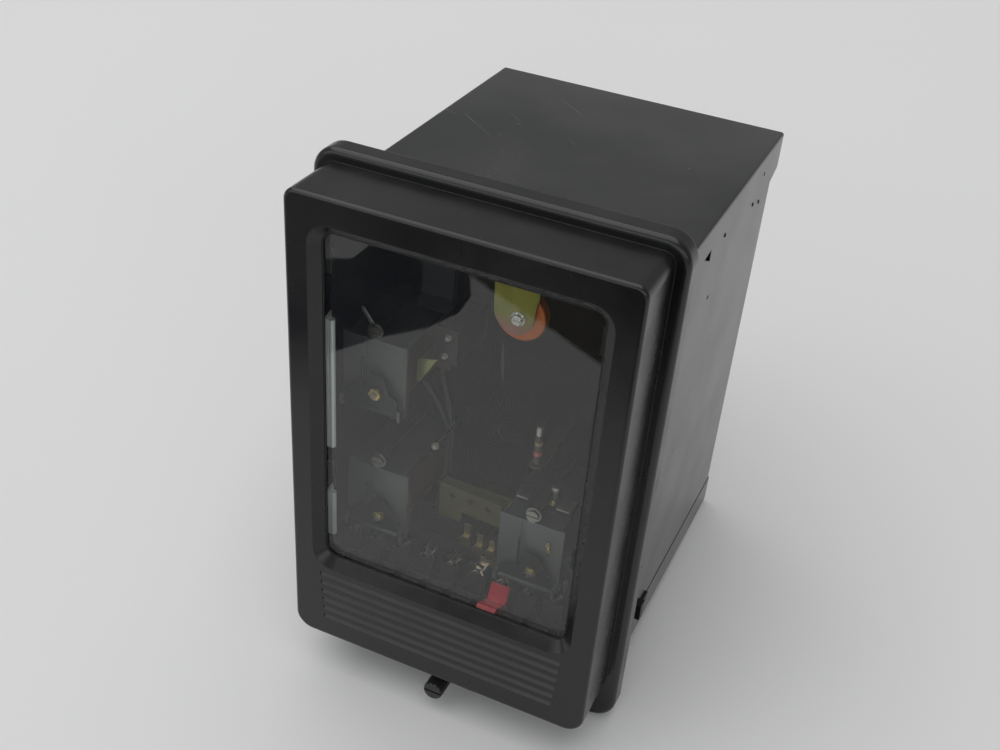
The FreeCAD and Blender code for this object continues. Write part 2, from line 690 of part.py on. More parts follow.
def varistor_disc():
    disc = rod(DISC_X, DISC_Y, DISC_Z, DISC_R, 6.0, Y)
    disc = disc.makeFillet(1.0, edges_at(disc, lambda e: e.Length > 60))
    return disc.cut(rod(DISC_X, DISC_Y - 5, DISC_Z, 2.6, 20, Y))


def varistor_bracket():
    """Bent strip that comes forward from the plate and down over the disc's face."""
    x0 = DISC_X - 12.6
    x1 = DISC_X + 9.0
    outline = (
        (-11.7, -0.3), (-10.9, -2.6), (-8.9, -5.4), (-6.0, -7.8), (-3.0, -8.9), (0.2, -8.7), (3.2, -7.3),
        (5.4, -5.0), (6.7, -2.4), (7.2, 1.0), (7.8, 6.8), (8.8, 11.8), (9.0, 24.0), (-12.6, 24.0),
        (-12.0, 4.6),
    )
    front = prism([(DISC_X + dx, DISC_Y - 1.6, DISC_Z + dz) for dx, dz in outline], (0, 1.4, 0))
    arm = box(x0, x1, DISC_Y - 1.6, PLATE_Y, DISC_Z + 24.0, DISC_Z + 25.4)
    rear = box(x0, x1, PLATE_Y - 1.4, PLATE_Y, DISC_Z + 10.0, DISC_Z + 25.4)
    bracket = fuse_all([front, arm, rear])
    bracket = fillet_where(
        bracket, 1.2,
        lambda e: abs(e.BoundBox.YMax - DISC_Y + 1.6) < 1e-4 and abs(e.BoundBox.ZMax - DISC_Z - 25.4) < 1e-4
        and e.BoundBox.XLength > 10,
    )
    return bracket.cut(rod(DISC_X, DISC_Y - 5, DISC_Z, 2.6, 10, Y))


def varistor_screw():
    """Slotted screw, star washer and spacer that clamp the disc to the plate."""
    y = DISC_Y - 1.6
    head = rod(DISC_X, y - 2.8, DISC_Z, 2.7, 1.9, Y)
    head = head.makeFillet(0.7, edges_at(head, on_plane_y(y - 2.8)))
    head = head.cut(box(DISC_X - 5, DISC_X + 5, y - 4, y - 2.0, DISC_Z - 0.4, DISC_Z + 0.4))
    washer = rod(DISC_X, y - 0.9, DISC_Z, 3.5, 0.9, Y)
    teeth = 12
    for i in range(teeth):
        a = 2 * math.pi * i / teeth
        cutter = rod(DISC_X + 3.6 * math.cos(a), y - 2, DISC_Z + 3.6 * math.sin(a), 0.42, 4, Y)
        washer = washer.cut(cutter)
    shank = rod(DISC_X, y - 0.9, DISC_Z, 2.5, PLATE_Y - y + 0.9, Y)
    spacer = rod(DISC_X, DISC_Y + 6.1, DISC_Z, 4.5, PLATE_Y - DISC_Y - 6.1, Y)
    return fuse_all([head, washer, shank, spacer])


RESISTOR_X = 26.3
RESISTOR_Y = 2.0
RESISTOR_Z = -1.0


def resistor_bobbin():
    """Slender upright resistor with a metal cap, on a bracket from the mounting plate."""
    x, y, z = RESISTOR_X, RESISTOR_Y, RESISTOR_Z
    body = rod(x, y, z, 1.7, 17.0, Z)
    cheeks = [rod(x, y, z, 3.4, 1.2, Z)]
    cap = rod(x, y, z + 17.0, 1.45, 4.6, Z)
    tail = box(x - 3, x + 3, y, PLATE_Y, z - 2.0, z)
    return fuse_all([body, cap, tail] + cheeks)


PLATE_ANGLE = -4.0


def contact_plate():
    """Amber moulded guard that stands across the middle of the chassis at an angle."""
    plate = box(-17.1, 17.1, -1.2, 1.2, -20.0, 0.0)
    lip = box(-17.1, 17.1, -1.2, 5.0, -1.6, 0.0)
    guard = plate.fuse(lip).removeSplitter()
    guard = guard.cut(box(-5.0, 20.0, -5, 10, -21.0, -13.6))
    for dx in (-10.0, 0.0, 10.0):
        guard = guard.cut(rod(dx, -5, -5.5, 1.6, 12, Y))
    guard.rotate(Vector(0, 0, 0), Z, PLATE_ANGLE)
    guard.translate(Vector(-7.8, 9.0, -36.0))
    return guard


def brass_terminals():
    """Contact fingers and terminal posts beneath the guard."""
    pieces = []
    for i, (x, y, z) in enumerate(((-6.0, 2.6, -60.0), (2.0, 0.6, -61.0), (9.0, -0.8, -60.0))):
        post = rod(x, y, z, 2.4, 36.0 - y, Y)
        nut = hexagon(x, y - 2.4, z, 6.0, 2.4)
        finger = box(x - 1.6, x + 1.6, y - 0.6, y + 0.2, z + 2.0, z + 9.5 - i)
        tie = box(x - 1.6, x + 1.6, y - 0.6, y + 3.0, z + 1.0, z + 2.4)
        pieces.append(fuse_all([post, nut, finger, tie]))
    rail = box(-16.0, 14.0, 36.0, PLATE_Y, -66.0, -55.0)
    return pieces + [rail]


def tube(points, radius):
    """Round lead along straight runs joined by tangent arcs."""
    places = [Vector(*p) for p in points]
    edges = []
    start = places[0]
    for before, corner, after in zip(places, places[1:], places[2:]):
        into = (corner - before).normalize()
        out = (after - corner).normalize()
        half_turn = into.getAngle(out) / 2
        reach = 0.45 * min((corner - before).Length, (after - corner).Length)
        bend = reach / math.tan(half_turn)
        inward = (out - into).normalize()
        first = corner - into * reach
        last = corner + out * reach
        middle = corner + inward * (bend / math.cos(half_turn) - bend)
        edges.append(Part.makeLine(start, first))
        edges.append(Part.Arc(first, middle, last).toShape())
        start = last
    edges.append(Part.makeLine(start, places[-1]))
    path = Part.Wire(edges)
    ring = Part.Wire([Part.makeCircle(radius, places[0], places[1] - places[0])])
    return path.makePipeShell([ring], True, False)


def wiring():
    """Internal leads from the coils and terminals down to the jaw block."""
    wires = []
    for name, x, z in UNITS:
        lug_z = unit_core_z(z) - 16.7
        for s in (-1, 1):
            start = (x + CORE_DX + s * 9, 38.0, lug_z)
            if name == "upper":
                lane = -31.0 - 2.0 * (s < 0)
                points = (
                    start, ((start[0] + lane) / 2, 35.0, lug_z - 9.0 - 2 * s), (lane, 33.0, -20.0),
                    (lane, 30.0, -48.0), (lane, 25.0, -62.0), (lane, 24.0, -68.8),
                )
            else:
                drop = start[0] + 2.0 * s
                points = (start, (drop, 35.5, -69.8), (drop, 30.0, -67.6), (drop, 26.0, -68.8))
            wires.append(tube(points, 1.0))
    return wires


# ---- write every node ---------------------------------------------------------------------------
def main():
    os.makedirs("parts", exist_ok=True)
    write("cover_frame", [cover_frame()])
    write("window_glass", [window_glass()])
    write("glass_gasket", [glass_gasket()])
    write("glass_clips", glass_clips())
    write("cover_screw", [cover_screw()])

    write("case_flange", [case_flange()])
    write("case_shell", [case_shell()])
    write("case_bottom", [case_bottom()])
    write("case_back", [case_back()])
    write("case_clips", case_clips())
    write("terminal_studs", terminal_studs())
    write("terminal_nuts", terminal_nuts())

    write("switch_base", [switch_base()])
    write("switch_pin", [switch_pin()])
    for index in range(1, SWITCH_COUNT + 1):
        write("switch_%02d_blade" % index, [switch_blade(index)])
        write("switch_%02d_handle" % index, [switch_handle(index)])
    write("jaw_block", [jaw_block()])
    write("switch_jaws", switch_jaws())

    write("chassis_frame", [chassis_frame()])
    write("guide_strips", guide_strips())
    for name, x, z, up in LATCHES:
        write(name, [latch_arm(x, z, up)])
    write("latch_pins", latch_pins())

    for name, x, z in UNITS:
        write(name + "_unit_frame", [unit_frame(x, z)])
        write(name + "_unit_coil", [unit_coil(x, z)])
        write(name + "_unit_armature", [unit_armature(x, z)])
    write("unit_cores", unit_cores())
    write("unit_nuts", unit_nuts())
    write("unit_screws", unit_screws())

    write("varistor_disc", [varistor_disc()])
    write("varistor_bracket", [varistor_bracket()])
    write("varistor_screw", [varistor_screw()])
    write("resistor_bobbin", [resistor_bobbin()])
    write("contact_plate", [contact_plate()])
    write("brass_terminals", brass_terminals())
    write("wiring", wiring())


main()
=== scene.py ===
import math

import bmesh
import bpy
from mathutils import Matrix, Vector


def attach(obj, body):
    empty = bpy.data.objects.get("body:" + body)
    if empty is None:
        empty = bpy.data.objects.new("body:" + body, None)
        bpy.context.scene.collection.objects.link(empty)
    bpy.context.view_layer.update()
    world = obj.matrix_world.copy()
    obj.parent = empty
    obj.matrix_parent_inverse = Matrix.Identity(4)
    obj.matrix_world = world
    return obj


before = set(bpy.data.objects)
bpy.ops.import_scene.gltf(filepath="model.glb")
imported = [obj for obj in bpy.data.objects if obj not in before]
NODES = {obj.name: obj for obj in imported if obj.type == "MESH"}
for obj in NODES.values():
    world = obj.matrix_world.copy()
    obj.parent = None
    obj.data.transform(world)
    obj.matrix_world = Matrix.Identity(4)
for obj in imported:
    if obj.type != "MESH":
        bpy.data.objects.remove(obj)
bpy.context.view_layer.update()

MM = 0.001
METAL_EDGE = 0.3 * MM
scene = bpy.context.scene
scene.view_settings.view_transform = "Standard"
scene.view_settings.look = "None"


def mm(x, y, z):
    return Vector((x * MM, y * MM, z * MM))


# ---- material helpers ---------------------------------------------------------------------------
class Nodes:
    """A small builder for one material's node tree."""

    def __init__(self, name):
        self.material = bpy.data.materials.new(name)
        self.material.use_nodes = True
        self.tree = self.material.node_tree
        self.tree.nodes.clear()
        self.out = self.tree.nodes.new("ShaderNodeOutputMaterial")
        self.coord = self.tree.nodes.new("ShaderNodeTexCoord").outputs["Object"]

    def add(self, kind, **values):
        node = self.tree.nodes.new(kind)
        for key, value in values.items():
            setattr(node, key, value)
        return node

    def link(self, a, b):
        self.tree.links.new(a, b)

    def put(self, socket, value):
        if hasattr(value, "is_output"):
            self.link(value, socket)
        else:
            socket.default_value = value

    def mapped(self, scale=(1, 1, 1), rotation=(0, 0, 0), coord=None):
        node = self.add("ShaderNodeMapping")
        self.link(coord or self.coord, node.inputs["Vector"])
        node.inputs["Scale"].default_value = scale
        node.inputs["Rotation"].default_value = rotation
        return node.outputs["Vector"]

    def noise(self, scale, detail=3.0, rough=0.55, coord=None, distortion=0.0):
        node = self.add("ShaderNodeTexNoise")
        self.link(coord or self.coord, node.inputs["Vector"])
        node.inputs["Scale"].default_value = scale
        node.inputs["Detail"].default_value = detail
        node.inputs["Roughness"].default_value = rough
        node.inputs["Distortion"].default_value = distortion
        return node.outputs["Fac"]

    def ramp(self, value, low, high, to_low=0.0, to_high=1.0):
        node = self.add("ShaderNodeMapRange", interpolation_type="LINEAR")
        node.clamp = True
        self.put(node.inputs["Value"], value)
        node.inputs["From Min"].default_value = low
        node.inputs["From Max"].default_value = high
        node.inputs["To Min"].default_value = to_low
        node.inputs["To Max"].default_value = to_high
        return node.outputs["Result"]

    def maths(self, operation, a, b=0.0):
        node = self.add("ShaderNodeMath", operation=operation)
        self.put(node.inputs[0], a)
        self.put(node.inputs[1], b)
        return node.outputs[0]

    def mix(self, factor, a, b):
        node = self.add("ShaderNodeMix", data_type="RGBA", blend_type="MIX")
        self.put(node.inputs[0], factor)
        self.put(node.inputs[6], a)
        self.put(node.inputs[7], b)
        return node.outputs[2]

    def facing(self, axis):
        """How far the surface faces along an axis of the object, from -1 to 1."""
        geometry = self.add("ShaderNodeNewGeometry")
        split = self.add("ShaderNodeSeparateXYZ")
        self.link(geometry.outputs["True Normal"], split.inputs[0])
        return split.outputs[axis]

    def axis(self, index):
        split = self.add("ShaderNodeSeparateXYZ")
        self.link(self.coord, split.inputs[0])
        return split.outputs[index]

    def bump(self, height, distance, strength=1.0, normal=None):
        node = self.add("ShaderNodeBump")
        self.put(node.inputs["Height"], height)
        node.inputs["Distance"].default_value = distance
        node.inputs["Strength"].default_value = strength
        if normal is not None:
            self.link(normal, node.inputs["Normal"])
        return node.outputs["Normal"]

    def bevel(self, radius):
        node = self.add("ShaderNodeBevel", samples=4)
        node.inputs["Radius"].default_value = radius
        return node.outputs["Normal"]

    def edge(self, radius):
        """1 on sharp edges, 0 on flats."""
        rounded = self.bevel(radius)
        geometry = self.add("ShaderNodeNewGeometry")
        dot = self.add("ShaderNodeVectorMath", operation="DOT_PRODUCT")
        self.link(rounded, dot.inputs[0])
        self.link(geometry.outputs["Normal"], dot.inputs[1])
        return self.ramp(dot.outputs["Value"], 0.995, 0.85)

    def principled(self, **values):
        shader = self.add("ShaderNodeBsdfPrincipled")
        for key, value in values.items():
            self.put(shader.inputs[key.replace("_", " ")], value)
        return shader

    def finish(self, shader):
        self.link(shader.outputs[0], self.out.inputs["Surface"])
        return self.material


def grey(v):
    return (v, v, v, 1.0)


def rgb(r, g, b):
    return (r, g, b, 1.0)


def scaled(colour, factor, lift=0.0):
    """The colour made darker or brighter, then lifted, and held at or below 1."""
    return [min(1.0, c * factor + lift) for c in colour[:3]] + [1.0]


# (rotation about Z, stretch along x, y and z) of the three families of fine scratches in enamel
SCRATCHES = ((0.4, (14, 900, 14)), (-0.9, (900, 10, 18)), (2.1, (500, 16, 500)))


def moulded(name, colour, rough=0.42, grain=900.0, grain_depth=0.00003, dust=0.05, worn=0.25, radius=0.0004,
            mottle=0.12, spec=0.5):
    """Moulded plastic: fine grain, faint mottling, dust on what faces up and paler worn edges."""
    n = Nodes(name)
    cloud = n.noise(14.0, 4.0)
    fine = n.noise(grain, 2.0, 0.6)
    dark = scaled(colour, 1 - mottle)
    pale = scaled(colour, 1 + mottle, 0.001)
    base = n.mix(n.ramp(cloud, 0.35, 0.65), dark, pale)
    specks = n.ramp(n.noise(1900.0, 2.0), 0.64, 0.74)
    up = n.ramp(n.facing(2), 0.1, 0.9)
    grime = n.maths("ADD", n.maths("MULTIPLY", specks, 0.6), n.ramp(cloud, 0.4, 0.7))
    settled = n.maths("MULTIPLY", grime, up)
    base = n.mix(n.maths("MULTIPLY", settled, dust), base, rgb(0.42, 0.40, 0.36))
    edge = n.maths("MULTIPLY", n.edge(radius), n.ramp(n.noise(90.0, 4.0), 0.35, 0.7))
    base = n.mix(n.maths("MULTIPLY", edge, worn), base, scaled(colour, 2.2, 0.03))
    roughness = n.ramp(n.noise(38.0, 5.0), 0.3, 0.7, rough - 0.05, rough + 0.07)
    normal = n.bump(fine, grain_depth, 0.6, n.bevel(radius))
    return n.finish(n.principled(Base_Color=base, Roughness=roughness, Normal=normal, IOR=1.5,
                                 Specular_IOR_Level=spec))


def enamel(name, colour, rough=0.38, dust=0.10, scratch=0.5, radius=0.0005, peel=0.000012, spec=0.5):
    """Sprayed black enamel on sheet metal: slight orange peel, fine scratches, dust."""
    n = Nodes(name)
    cloud = n.noise(9.0, 5.0)
    dark = scaled(colour, 0.85)
    pale = scaled(colour, 1.18)
    base = n.mix(n.ramp(cloud, 0.35, 0.65), dark, pale)
    lines = None
    for i, (turn, stretch) in enumerate(SCRATCHES):
        turned_coord = n.mapped((1, 1, 1), (0.2 * i, 0.1, turn))
        thin = n.noise(1.0, 1.0, 0.5, n.mapped(stretch, (0, 0, 0), turned_coord))
        line = n.ramp(thin, 0.735, 0.76)
        lines = line if lines is None else n.maths("MAXIMUM", lines, line)
    patchy = n.ramp(n.noise(22.0, 2.0), 0.5, 0.62)
    lines = n.maths("MULTIPLY", lines, patchy)
    base = n.mix(n.maths("MULTIPLY", lines, 0.22 * scratch), base, grey(0.40))
    specks = n.ramp(n.noise(1500.0, 2.0), 0.66, 0.74)
    up = n.ramp(n.facing(2), 0.1, 0.9)
    grime = n.maths("ADD", n.maths("MULTIPLY", specks, 0.7), n.ramp(cloud, 0.4, 0.75))
    settled = n.maths("MULTIPLY", grime, up)
    base = n.mix(n.maths("MULTIPLY", settled, dust), base, rgb(0.45, 0.43, 0.40))
    edge = n.maths("MULTIPLY", n.edge(radius), n.ramp(n.noise(120.0, 4.0), 0.42, 0.66))
    base = n.mix(n.maths("MULTIPLY", edge, 0.35), base, grey(0.16))
    roughness = n.ramp(n.noise(30.0, 5.0), 0.3, 0.7, rough - 0.025, rough + 0.035)
    normal = n.bump(n.noise(520.0, 2.0), peel, 1.0, n.bevel(radius))
    return n.finish(n.principled(Base_Color=base, Roughness=roughness, Normal=normal, IOR=1.5,
                                 Specular_IOR_Level=spec))


def metal(name, colour, rough=0.3, brushed=None, tarnish=0.25, stain=None, metallic=1.0, dull=0.12):
    """Plated or bare metal, with a brushed or cast grain, tarnish and brighter edges."""
    n = Nodes(name)
    cloud = n.noise(55.0, 5.0)
    tint = stain or scaled(colour, 0.55)
    base = n.mix(n.maths("MULTIPLY", n.ramp(cloud, 0.4, 0.72), tarnish * 2), colour, tint)
    if brushed:
        hair = n.noise(1.0, 3.0, 0.6, n.mapped(brushed))
    else:
        hair = n.noise(1400.0, 3.0, 0.6)
    base = n.mix(n.ramp(hair, 0.3, 0.7, 0.0, 0.25), base, scaled(colour, 0.7))
    edge = n.edge(METAL_EDGE)
    base = n.mix(n.maths("MULTIPLY", edge, 0.5), base, scaled(colour, 1.3, 0.05))
    uneven = n.maths("ADD", n.maths("MULTIPLY", hair, 0.5), n.maths("MULTIPLY", cloud, 0.5))
    roughness = n.ramp(uneven, 0.3, 0.7, rough - 0.07, rough + dull)
    normal = n.bump(hair, 0.000012, 0.8, n.bevel(METAL_EDGE))
    return n.finish(n.principled(Base_Color=base, Roughness=roughness, Normal=normal, Metallic=metallic))


def glass(name):
    """Clear window glass: smooth slab with a faint film of dust and wiping marks."""
    n = Nodes(name)
    clear = n.principled(Base_Color=rgb(0.93, 0.965, 0.95), Roughness=0.0, IOR=1.41, Transmission_Weight=1.0)
    wipe = n.noise(1.0, 4.0, 0.6, n.mapped((26, 26, 60), (0, 0.5, 0)), 0.6)
    specks = n.ramp(n.noise(1400.0, 2.0), 0.70, 0.76)
    film = n.principled(Base_Color=rgb(0.55, 0.54, 0.50), Roughness=0.8)
    share = n.maths("ADD", n.ramp(wipe, 0.42, 0.7, 0.007, 0.013), n.maths("MULTIPLY", specks, 0.006))
    dusty = n.add("ShaderNodeMixShader")
    n.put(dusty.inputs[0], share)
    n.link(clear.outputs[0], dusty.inputs[1])
    n.link(film.outputs[0], dusty.inputs[2])
    path = n.add("ShaderNodeLightPath")
    open_shadow = n.add("ShaderNodeBsdfTransparent")
    open_shadow.inputs[0].default_value = rgb(0.9, 0.93, 0.91)
    one = n.add("ShaderNodeMixShader")
    n.link(path.outputs["Is Shadow Ray"], one.inputs[0])
    n.link(dusty.outputs[0], one.inputs[1])
    n.link(open_shadow.outputs[0], one.inputs[2])
    two = n.add("ShaderNodeMixShader")
    n.link(path.outputs["Is Diffuse Ray"], two.inputs[0])
    n.link(one.outputs[0], two.inputs[1])
    n.link(open_shadow.outputs[0], two.inputs[2])
    return n.finish(two)


def use(node, material):
    data = NODES[node].data
    data.materials.clear()
    data.materials.append(material)


# ---- materials of the object --------------------------------------------------------------------
BLACK = rgb(0.0042, 0.0042, 0.0045)
ENAMEL = rgb(0.0075, 0.0075, 0.008)
cover_black = moulded("cover_black", BLACK, rough=0.25, grain=1100.0, grain_depth=0.000012, dust=0.03,
                      worn=0.12, radius=0.0005, spec=0.55)
use("cover_frame", cover_black)
use("window_glass", glass("window_glass"))
use("glass_gasket", moulded("gasket_rubber", rgb(0.012, 0.012, 0.012), rough=0.55, grain=1600.0, dust=0.02,
                            worn=0.05, radius=0.0002))
use("glass_clips", metal("clip_steel", grey(0.42), rough=0.32, brushed=(40, 40, 1600)))
use("cover_screw", moulded("knob_black", rgb(0.016, 0.016, 0.016), rough=0.34, grain=1500.0, dust=0.04,
                           worn=0.35, radius=0.0003))
case_black = enamel("case_black", ENAMEL, rough=0.24, dust=0.07, scratch=0.8, spec=0.9)
use("case_flange", enamel("flange_black", ENAMEL, rough=0.24, dust=0.07, scratch=0.6, spec=0.75))
use("case_shell", case_black)
use("case_bottom", enamel("tray_black", ENAMEL, rough=0.24, dust=0.07, spec=0.9))
phenolic = moulded("phenolic", rgb(0.014, 0.012, 0.010), rough=0.36, grain=700.0, dust=0.05, worn=0.2,
                   radius=0.0003, spec=0.25)
use("case_back", phenolic)
use("switch_base", phenolic)
use("jaw_block", phenolic)
use("case_clips", metal("black_spring_steel", grey(0.05), rough=0.35, tarnish=0.3))
use("terminal_studs", metal("nickel_studs", rgb(0.60, 0.58, 0.54), rough=0.26, brushed=(1200, 1200, 60)))
use("terminal_nuts", metal("plated_brass_nuts", rgb(0.62, 0.56, 0.42), rough=0.28))
use("switch_pin", metal("drawn_steel", grey(0.55), rough=0.2, brushed=(60, 1500, 1500)))
silver = metal("silver_plate", rgb(0.90, 0.88, 0.82), rough=0.2, brushed=(1500, 1500, 80), tarnish=0.1,
               stain=rgb(0.35, 0.30, 0.20))
aged_silver = metal("aged_silver", rgb(0.14, 0.13, 0.12), rough=0.42, brushed=(1500, 1500, 80), tarnish=0.4,
                    stain=rgb(0.05, 0.045, 0.04))
black_grip = moulded("black_grip", rgb(0.008, 0.008, 0.008), rough=0.34, grain=1300.0, dust=0.03, worn=0.1,
                     radius=0.0004, spec=0.15)
red_grip = moulded("red_grip", rgb(0.85, 0.02, 0.05), rough=0.27, grain=1300.0, dust=0.05, worn=0.25,
                   radius=0.0004)
for index in range(1, 11):
    use("switch_%02d_blade" % index, aged_silver)
    use("switch_%02d_handle" % index, red_grip if index == 7 else black_grip)
use("switch_jaws", silver)
# The chassis gets a nearly black colour and a low specular level, so the plate behind the units stays dark.
use("chassis_frame", enamel("chassis_black", rgb(0.007, 0.0065, 0.006), rough=0.55, dust=0.02, spec=0.08,
                            peel=0.0000005))
# painted highlight: the near-white, mostly non-metallic colour of the nickel guide strips paints their
# bright reflection into the surface
use("guide_strips", metal("nickel_painted_highlight", rgb(0.96, 0.96, 0.95), rough=0.20, brushed=(900, 900, 40),
                          tarnish=0.03, metallic=0.2, dull=0.06))
latch_black = moulded("latch_black", rgb(0.009, 0.009, 0.009), rough=0.36, dust=0.03, worn=0.15,
                      radius=0.0003, spec=0.2)
use("latch_top", latch_black)
use("latch_bottom", latch_black)
use("latch_pins", metal("latch_steel", grey(0.3), rough=0.3))
unit_grey = metal("unit_nickel", rgb(0.135, 0.134, 0.136), rough=0.42, brushed=(1000, 1000, 60), tarnish=0.2,
                  metallic=0.75)
dark_iron = metal("dark_iron", rgb(0.045, 0.046, 0.05), rough=0.3, tarnish=0.3, metallic=0.85)
winding = metal("winding", rgb(0.09, 0.045, 0.022), rough=0.4, metallic=0.1, brushed=(60, 5200, 60))
for unit in ("upper", "lower_left", "lower_right"):
    use(unit + "_unit_frame", unit_grey)
    use(unit + "_unit_coil", winding)
    use(unit + "_unit_armature", dark_iron)
use("unit_cores", metal("soft_iron", rgb(0.36, 0.35, 0.33), rough=0.35))
brass = metal("brass", rgb(0.78, 0.55, 0.22), rough=0.24, stain=rgb(0.34, 0.22, 0.08))
use("unit_nuts", brass)
use("unit_screws", metal("plated_screws", rgb(0.27, 0.26, 0.23), rough=0.32))
use("varistor_disc", metal("copper_disc", rgb(0.54, 0.13, 0.022), rough=0.55, metallic=0.35, tarnish=0.2,
                           stain=rgb(0.42, 0.13, 0.06)))


def chromate(name):
    """Iridescent yellow chromate plating that turns from green gold to pink towards its lower end."""
    n = Nodes(name)
    cloud = n.noise(160.0, 4.0)
    height = n.maths("ADD", n.axis(2), n.maths("MULTIPLY", cloud, 0.006))
    gold = n.mix(n.ramp(cloud, 0.35, 0.7), rgb(0.30, 0.27, 0.045), rgb(0.22, 0.24, 0.04))
    base = n.mix(n.ramp(height, 0.0675, 0.0760), rgb(0.34, 0.15, 0.13), gold)
    hair = n.noise(1.0, 3.0, 0.6, n.mapped((1500, 1500, 60)))
    base = n.mix(n.ramp(hair, 0.3, 0.7, 0.0, 0.3), base, rgb(0.12, 0.09, 0.03))
    roughness = n.ramp(cloud, 0.3, 0.7, 0.28, 0.42)
    normal = n.bump(hair, 0.000012, 0.8, n.bevel(METAL_EDGE))
    return n.finish(n.principled(Base_Color=base, Roughness=roughness, Normal=normal, Metallic=0.8))


use("varistor_bracket", chromate("yellow_chromate"))
use("varistor_screw", metal("washer_steel", rgb(0.62, 0.60, 0.55), rough=0.25))
use("resistor_bobbin", metal("resistor_spool", rgb(0.08, 0.06, 0.05), rough=0.4, metallic=0.1,
                             brushed=(60, 60, 3600)))
use("contact_plate", metal("amber_moulding", rgb(0.10, 0.085, 0.04), rough=0.35, metallic=0.0, tarnish=0.3))
use("brass_terminals", metal("dull_brass", rgb(0.42, 0.33, 0.18), rough=0.34,
                             stain=rgb(0.20, 0.15, 0.08)))
use("wiring", moulded("lead_insulation", rgb(0.03, 0.03, 0.035), rough=0.4, dust=0.05, worn=0.0,
                      radius=0.0001))


# ---- small fittings that the CAD part leaves out ------------------------------------------------
def prism(name, outline, depth, material, edge=0.15, body="case"):
    """Solid from a closed outline of (x, y, z) millimetres pushed along depth, with broken edges."""
    shape = bmesh.new()
    low = [shape.verts.new(mm(*p)) for p in outline]
    push = mm(*depth)
    high = [shape.verts.new(v.co + push) for v in low]
    count = len(outline)
    shape.faces.new(low)
    shape.faces.new(list(reversed(high)))
    for i in range(count):
        j = (i + 1) % count
        shape.faces.new((low[j], low[i], high[i], high[j]))
    bmesh.ops.recalc_face_normals(shape, faces=shape.faces)
    bmesh.ops.bevel(shape, geom=list(shape.edges), offset=edge * MM, segments=2, affect="EDGES", profile=0.6)
    return settle(name, shape, material, body)


def turned(name, centre, axis, profile, material, sides=40, body="case"):
    """Solid of revolution from (radius, distance along axis) pairs in millimetres."""
    shape = bmesh.new()
    spin = Vector(axis).to_track_quat("Z", "Y").to_matrix()
    rings = []
    for radius, along in profile:
        ring = []
        for i in range(sides):
            turn = 2 * math.pi * i / sides
            local = Vector((radius * math.cos(turn), radius * math.sin(turn), along)) * MM
            ring.append(shape.verts.new(mm(*centre) + spin @ local))
        rings.append(ring)
    for a, b in zip(rings, rings[1:]):
        for i in range(sides):
            j = (i + 1) % sides
            shape.faces.new((a[i], a[j], b[j], b[i]))
    shape.faces.new(list(reversed(rings[0])))
    shape.faces.new(rings[-1])
    bmesh.ops.recalc_face_normals(shape, faces=shape.faces)
    return settle(name, shape, material, body)


def settle(name, shape, material, body):
    mesh = bpy.data.meshes.new(name)
    shape.to_mesh(mesh)
    shape.free()
    for polygon in mesh.polygons:
        polygon.use_smooth = True
    mesh.set_sharp_from_angle(angle=math.radians(35))
    mesh.materials.append(material)
    obj = bpy.data.objects.new(name, mesh)
    scene.collection.objects.link(obj)
    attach(obj, body)
    return obj


def screw(name, x, y, z, radius, material, length=6.0):
    """Pan-head screw seen from the front, its head in front of the plane y."""
    profile = ((0.45 * radius, length), (0.45 * radius, 0.0), (1.2 * radius, 0.0), (1.2 * radius, -0.4),
               (radius, -0.45), (radius, -1.1), (0.82 * radius, -1.6), (0.3 * radius, -1.75),
               (0.26 * radius, -1.3))
    return turned(name, (x, y, z), (0, 1, 0), profile, material)


dull_nickel = metal("dull_nickel", rgb(0.56, 0.54, 0.49), rough=0.34, tarnish=0.35)
olive = metal("olive_chromate", rgb(0.34, 0.33, 0.14), rough=0.36, tarnish=0.4, stain=rgb(0.16, 0.20, 0.08),
              metallic=0.8)
copper_tan = metal("tinned_copper", rgb(0.72, 0.55, 0.42), rough=0.3, tarnish=0.3)
PAINT = dict(rough=0.5, grain=2600.0, dust=0.0, worn=0.0, radius=0.0001)
red_band = moulded("red_band", rgb(0.42, 0.10, 0.10), **PAINT)
tan_band = moulded("tan_band", rgb(0.28, 0.19, 0.11), **PAINT)

# a slanting solder lug under the upper unit's screw
lug_dir = (-0.583, 0.812)
lug_side = (0.812, 0.583)
LUG_X, LUG_Y, LUG_Z = -53.0, -7.55, 50.85
LUG_EDGE = ((1.8, 1.5), (4.4, 1.0), (11.6, 0.9), (12.6, 0.5), (12.6, -0.5), (11.6, -0.9), (4.4, -1.0),
            (1.8, -1.5))
lug = []
for along, half in LUG_EDGE:
    lug.append((LUG_X + lug_dir[0] * along + lug_side[0] * half, LUG_Y,
                LUG_Z + lug_dir[1] * along + lug_side[1] * half))
prism("solder_lug", lug, (0, 0.5, 0), dull_nickel, edge=0.1)

# chromated side bracket and terminal block beside the upper unit
prism("side_bracket", ((-36.3, 1.0, 24.4), (-34.7, 1.0, 25.0), (-26.0, 1.0, 39.4), (-36.3, 1.0, 36.6)),
      (0, 0.9, 0), olive)
prism("side_bracket_foot",
      ((-36.2, 1.9, 26.0), (-36.2, 1.9, 36.0), (-36.2, 41.9, 36.0), (-36.2, 41.9, 26.0)), (0.8, 0, 0), olive)
prism("terminal_block", ((-31.5, 9.0, 33.0), (-20.0, 9.0, 33.0), (-20.0, 9.0, 52.0), (-31.5, 9.0, 52.0)),
      (0, 32.9, 0), phenolic, edge=0.5)
screw("block_screw_low", -26.3, 9.0, 37.2, 1.3, dull_nickel)
screw("block_screw_high", -24.9, 9.0, 47.2, 1.3, dull_nickel)
screw("plate_screw", -28.4, 8.0, -14.6, 1.6, dull_nickel, length=33.9)

